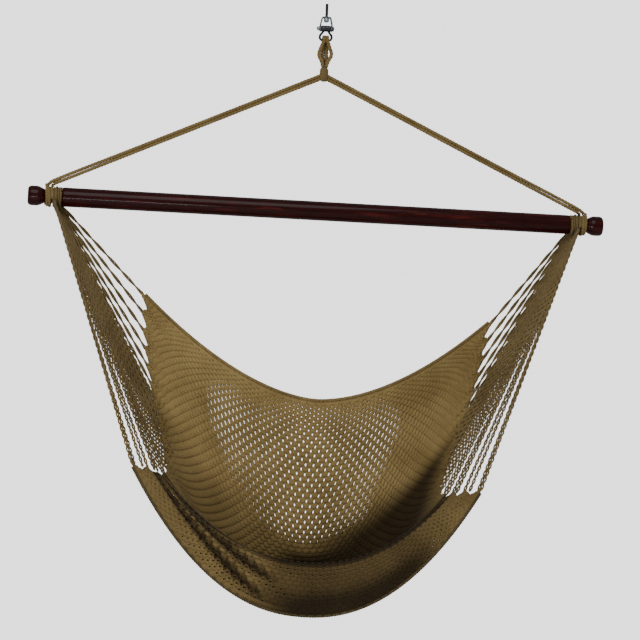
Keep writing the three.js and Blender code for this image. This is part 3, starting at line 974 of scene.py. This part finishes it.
def clew_loop(side, share, twist, half_gap):
    """Down from the neck, round the net's edge, and back up, with the two runs twisted."""
    start = clew_start(side, share)
    edge = net_point(side, share)
    along = unit(start - edge)
    edgeway = net_along(side, share, 0, 1)
    slant = np.linalg.norm(np.cross(along, edgeway))
    turn = edge - along * TOOTH_REACH / slant
    across = unit(edgeway - along * edgeway.dot(along))
    through = np.cross(along, across)
    run = np.linalg.norm(start - turn)
    t = np.linspace(0, 1, int(run * STEPS_PER_TWIST / twist))
    angle = 2 * math.pi * run / twist * (1 - t)
    centre = start + np.outer(t, turn + TWIST_END * along - start)
    offset = np.outer(np.cos(angle), across) + np.outer(np.sin(angle), through)
    offset = offset * (CLEW_TOP_HALF_GAP + (half_gap - CLEW_TOP_HALF_GAP) * t)[:, None]
    return np.vstack([centre - offset, cord_bend(turn, along, across), (centre + offset)[::-1]])


def clew_path(side, tooth):
    """One cord from the neck to a tooth of the net: one loop at the back, two in front."""
    share = tooth / (TEETH - 1)
    start = clew_start(side, share)
    root = start + ROOT_SHARE * (np.array([start[0], 0, BAR_Z]) - start)
    root_gap = (ROOT_HALF_GAP, 0, 0)
    if share < FULL_FROM:
        loops = [clew_loop(side, share, LOOSE_TWIST, LOOSE_HALF_GAP)]
    else:
        places = (min(share + LOOPS_APART, 1), share - LOOPS_APART)
        loops = [clew_loop(side, place, CLOSE_TWIST, CLOSE_HALF_GAP) for place in places]
    return np.vstack([root - root_gap, *loops, root + root_gap])


def add_clew_cord(side_name, side, tooth):
    path = clew_path(side, tooth)
    body = Body()
    body.tube(path, CORD_RADIUS + FUZZ, 6)
    name = f"{side_name}_clew_cord_{tooth + 1:02d}"
    piece = body.make(name + "_twist", cord, "tan_rope", "seat", name)


# ------------------------------------------------------------------ spreader bar

def add_bar():
    """Turned round stock with a groove and a knob at each end."""
    half = BAR_LENGTH / 2
    profile = [
        (0, BAR_RADIUS),
        (neck_x(0) - 3, BAR_RADIUS),
        (neck_x(0), BAR_RADIUS - 2),
        (neck_x(0), NECK_RADIUS),
        (neck_x(1), NECK_RADIUS),
        (half - KNOB_LENGTH + 11, BAR_RADIUS - 0.5),
        (half - KNOB_LENGTH + 16, BAR_RADIUS + 0.5),
        (half - 6, BAR_RADIUS + 0.5),
        (half - 1.5, BAR_RADIUS - 2),
        (half, BAR_RADIUS - 5),
        (half, 0.5),
    ]
    right = softened(profile, 2.2)
    left = [(-p[0], p[1]) for p in right[:0:-1]]
    body = Body()
    turned(body, left + right, axis=0, centre=(0, 0, BAR_Z), segments=96)
    body.make("turned_bar", mahogany, "dark_wood", "hanger", "spreader_bar")


# ------------------------------------------------------------------ swivel hardware

def add_stud():
    """A threaded stud: the radius follows a helix."""
    per_turn = 8
    segments = 32
    rings = int(STUD_LENGTH / THREAD_PITCH * per_turn)
    heights = np.linspace(-STUD_LENGTH, 0, rings)
    angles = np.linspace(0, 2 * math.pi, segments, endpoint=False)
    phase = (heights[:, None] / THREAD_PITCH - angles[None, :] / (2 * math.pi)) % 1
    radius = STUD_RADIUS - THREAD_DEPTH * np.abs(2 * phase - 1)
    stack = np.empty((rings, segments, 3))
    stack[..., 0] = radius * np.cos(angles)
    stack[..., 1] = radius * np.sin(angles)
    stack[..., 2] = heights[:, None]
    body = Body()
    body.rings(stack)
    body.make("threaded_stud", dark_steel, "dark_steel", "ceiling_fixing", "ceiling_stud")


def hex_ring(flats, hole, height, chamfer, axis, foot):
    """Closed rings of a chamfered hexagon nut with a hole, standing on its foot."""
    angles = np.linspace(0, 2 * math.pi, 72, endpoint=False)
    apothem = flats / 2
    hexagon = apothem / np.cos((angles + math.pi / 6) % (math.pi / 3) - math.pi / 6)
    crown = np.minimum(hexagon, apothem + 0.15)  # the face inside the broken corners
    levels = [
        (0, np.full_like(angles, hole)),
        (0, crown),
        (chamfer, hexagon),
        (height - chamfer, hexagon),
        (height, crown),
        (height, np.full_like(angles, hole)),
    ]
    stack = np.empty((len(levels), len(angles), 3))
    for ring, (level, radius) in zip(stack, levels):
        ring[:, axis] = level
        ring[:, (axis + 1) % 3] = radius * np.cos(angles)
        ring[:, (axis + 2) % 3] = radius * np.sin(angles)
    return stack + np.array(foot, float)


def add_nuts():
    play = 0.05
    stud_nut_top = YOKE_TOP_Z - YOKE_STRIP - WASHER_THICKNESS - 2 * CLEARANCE
    place = (0, 0, stud_nut_top - STUD_NUT_HEIGHT)
    rings = hex_ring(
        STUD_NUT_FLATS, STUD_RADIUS + play, STUD_NUT_HEIGHT, chamfer=0.7, axis=2, foot=place
    )
    body = Body()
    body.rings(rings, closed=True)
    body.make("stud_hex_nut", zinc, "zinc_steel", "ceiling_fixing", "stud_nut")
    place = (-YOKE_BOTTOM_HALF - CLEARANCE - PIN_NUT_HEIGHT, 0, PIN_Z)
    rings = hex_ring(
        PIN_NUT_FLATS, PIN_RADIUS + play, PIN_NUT_HEIGHT, chamfer=0.5, axis=0, foot=place
    )
    body = Body()
    body.rings(rings, closed=True)
    body.make("pin_hex_nut", zinc, "zinc_steel", "swivel", "pin_nut")


def add_washer():
    top = YOKE_TOP_Z - YOKE_STRIP - CLEARANCE
    bottom = top - WASHER_THICKNESS
    hole = STUD_RADIUS + 0.1
    rim = STUD_RADIUS + WASHER_OVERHANG
    edge = 0.3  # how much of each edge is broken
    profile = [
        (bottom, hole),
        (bottom, rim - edge),
        (bottom + edge, rim),
        (top - edge, rim),
        (top, rim - edge),
        (top, hole),
    ]
    angles = np.linspace(0, 2 * math.pi, 48, endpoint=False)
    stack = [
        np.stack([radius * np.cos(angles), radius * np.sin(angles), np.full_like(angles, z)], -1)
        for z, radius in profile
    ]
    body = Body()
    body.rings(stack, closed=True)
    body.make("round_washer", zinc, "zinc_steel", "ceiling_fixing", "stud_washer")


def strip_section(half_thickness, half_width):
    """A rectangle with rounded corners, as points (through the strip, across the strip)."""
    corner = 0.7
    points = []
    for through, across, start in ((1, 1, 0), (-1, 1, 90), (-1, -1, 180), (1, -1, 270)):
        for angle in (0, 30, 60, 90):
            turn = math.radians(start + angle)
            points.append(
                (
                    through * (half_thickness - corner) + corner * math.cos(turn),
                    across * (half_width - corner) + corner * math.sin(turn),
                )
            )
    return np.array(points)


def add_yoke():
    """A flat strip bent over into an open trapezium with its edges broken."""
    inset = YOKE_STRIP / 2
    half = [
        (-YOKE_BOTTOM_HALF + inset, YOKE_BOTTOM_Z),
        (-YOKE_BOTTOM_HALF + inset, YOKE_SPLAY_Z),
        (-YOKE_TOP_HALF + inset, YOKE_TOP_Z - inset),
    ]
    line = softened(half + [(-x, z) for x, z in half[::-1]], 2.6, 6)
    line = np.array([(x, 0, z) for x, z in line])
    tangents = unit(np.gradient(line, axis=0))
    depthwise = np.tile([0.0, 1.0, 0.0], (len(line), 1))
    outward = np.cross(tangents, depthwise)
    section = strip_section(inset, YOKE_DEPTH / 2)
    rings = line[:, None] + outward[:, None] * section[None, :, :1]
    rings = rings + depthwise[:, None] * section[None, :, 1:]
    body = Body()
    body.rings(rings)
    body.make("bent_yoke", worn_zinc, "zinc_steel", "swivel", "swivel_yoke")


def add_pin():
    """A pin with a domed head on the right. Its chamfered tail carries the nut."""
    head = YOKE_BOTTOM_HALF + CLEARANCE
    tail = -(YOKE_BOTTOM_HALF + PIN_TAIL)
    chamfer = 0.6
    profile = [
        (tail, 0.4),
        (tail, PIN_RADIUS - chamfer),
        (tail + chamfer, PIN_RADIUS),
        (head, PIN_RADIUS),
        (head, PIN_HEAD_RADIUS),
        (head + PIN_HEAD_LENGTH - 1, PIN_HEAD_RADIUS - 0.2),
        (head + PIN_HEAD_LENGTH, PIN_HEAD_RADIUS - 1.6),
        (head + PIN_HEAD_LENGTH, 0.4),
    ]
    body = Body()
    turned(body, softened(profile, 0.5, 3), axis=0, centre=(0, 0, PIN_Z), segments=40)
    body.make("cross_pin", dark_steel, "dark_steel", "swivel", "yoke_pin")


def add_eye():
    """A barrel on the cross pin and a loop of wire that hangs from its ends."""
    body = Body()
    profile = [
        (-EYE_BARREL_HALF, 0.5),
        (-EYE_BARREL_HALF, EYE_BARREL_RADIUS - 1),
        (-EYE_BARREL_HALF + 1, EYE_BARREL_RADIUS),
        (EYE_BARREL_HALF - 1, EYE_BARREL_RADIUS),
        (EYE_BARREL_HALF, EYE_BARREL_RADIUS - 1),
        (EYE_BARREL_HALF, 0.5),
    ]
    turned(body, softened(profile, 0.8), axis=0, centre=(0, 0, PIN_Z), segments=48)
    half = [
        (4.5, PIN_Z - 4),
        (8, PIN_Z - 9.5),
        (EYE_HALF_WIDTH - 1, PIN_Z - 14),
        (EYE_HALF_WIDTH, EYE_BOTTOM_Z + 6.5),
        (EYE_HALF_WIDTH - 2, EYE_BOTTOM_Z + 2),
        (5.5, EYE_BOTTOM_Z),
    ]
    line = [(-x, 0, z) for x, z in half] + [(x, 0, z) for x, z in half[::-1]]
    body.tube(SmoothLine(line).evenly(1.5), EYE_WIRE_RADIUS, 18)
    body.make("wire_eye", dark_steel, "dark_steel", "eye", "swivel_eye")


# ------------------------------------------------------------------ stage

FLOOR_DROP = 0.35  # the chair hangs this far above the floor, in metres
FLOOR_RADIUS = 3.6
FLOOR_SIDES = 128
ROOM_STRENGTH = 0.6  # of the light from all round
PAPER_STRENGTH = 2.2  # of the background that only the camera sees


def add_floor():
    lowest = min(corner[2] for corner in cad_box)
    material, nodes, links, shader = new_material("pale_floor")
    place = nodes.new("ShaderNodeTexCoord").outputs["Object"]
    speckle = noise(nodes, links, place, scale=3, detail=4, roughness=0.5)
    tone = ramp(nodes, links, speckle, (0.3, (0.86, 0.86, 0.855)), (0.7, (0.9, 0.9, 0.895)))
    links.new(tone, shader.inputs["Base Color"])
    shader.inputs["Roughness"].default_value = 0.85
    shader.inputs["Specular IOR Level"].default_value = 0.1
    z = lowest - FLOOR_DROP
    angles = np.linspace(0, 2 * math.pi, FLOOR_SIDES, endpoint=False)
    rim = [(FLOOR_RADIUS * math.cos(a), FLOOR_RADIUS * math.sin(a), z) for a in angles]
    mesh = bpy.data.meshes.new("floor")
    mesh.from_pydata(rim, [], [tuple(range(len(rim)))])
    mesh.materials.append(material)
    floor = bpy.data.objects.new("floor", mesh)
    bpy.context.scene.collection.objects.link(floor)


def add_light(name, place, target, width, height, power):
    """A rectangular lamp that faces its target. Places and sizes are in metres."""
    data = bpy.data.lights.new(name, "AREA")
    data.shape = "RECTANGLE"
    data.size = width
    data.size_y = height
    data.energy = power
    light = bpy.data.objects.new(name, data)
    bpy.context.scene.collection.objects.link(light)
    direction = Vector(target) - Vector(place)
    turn = direction.to_track_quat("-Z", "Y").to_matrix().to_4x4()
    light.matrix_world = Matrix.Translation(Vector(place)) @ turn


def add_world():
    """Soft white light from all round, and a brighter white behind the chair."""
    world = bpy.data.worlds.new("studio")
    world.use_nodes = True
    nodes = world.node_tree.nodes
    links = world.node_tree.links
    room = nodes["Background"]
    room.inputs["Color"].default_value = (1, 1, 1, 1)
    room.inputs["Strength"].default_value = ROOM_STRENGTH
    paper = nodes.new("ShaderNodeBackground")
    paper.inputs["Color"].default_value = (1, 1, 1, 1)
    paper.inputs["Strength"].default_value = PAPER_STRENGTH
    seen = nodes.new("ShaderNodeLightPath").outputs["Is Camera Ray"]
    mix = nodes.new("ShaderNodeMixShader")
    links.new(seen, mix.inputs[0])
    links.new(room.outputs[0], mix.inputs[1])
    links.new(paper.outputs[0], mix.inputs[2])
    links.new(mix.outputs[0], nodes["World Output"].inputs["Surface"])
    bpy.context.scene.world = world


# ------------------------------------------------------------------ build

SIDES = (("left", -1), ("right", 1))

for side_name, side in SIDES:
    for level in ("upper", "lower"):
        path = bridle_path(side, level == "upper")
        add_rope(f"{side_name}_bridle_rope_{level}", path, ROPE_RADIUS, ROPE_LAY, "hanger")
    path = hanging_loop(side)
    add_rope(f"{side_name}_hanging_loop", path, ROPE_RADIUS, ROPE_LAY, "hanger", fuzz=LOOP_FUZZ)
    for tooth in range(TEETH):
        add_clew_cord(side_name, side, tooth)
    add_hitch(side_name, side)
    add_clew_loop(side_name, side)

add_rope("back_edge_cord", edge_path(0), EDGE_CORD_RADIUS, EDGE_CORD_LAY, "seat")
add_rope(
    "front_edge_cord",
    edge_path(1),
    EDGE_CORD_RADIUS,
    EDGE_CORD_LAY,
    "seat",
    # The front edge cord takes the darker rope, painted shade under the lip.
    material=rope_in_painted_shade,
)
add_net()
add_seizing()
add_bar()
add_stud()
add_nuts()
add_washer()
add_yoke()
add_pin()
add_eye()

add_floor()
add_world()
add_light("key", (-0.7, -3.0, 2.6), (0, 0, -0.8), width=2.8, height=2.8, power=116)
add_light("strip", (-1.05, -2.3, -1.15), (-0.35, 0, -0.43), width=2.0, height=0.07, power=25)
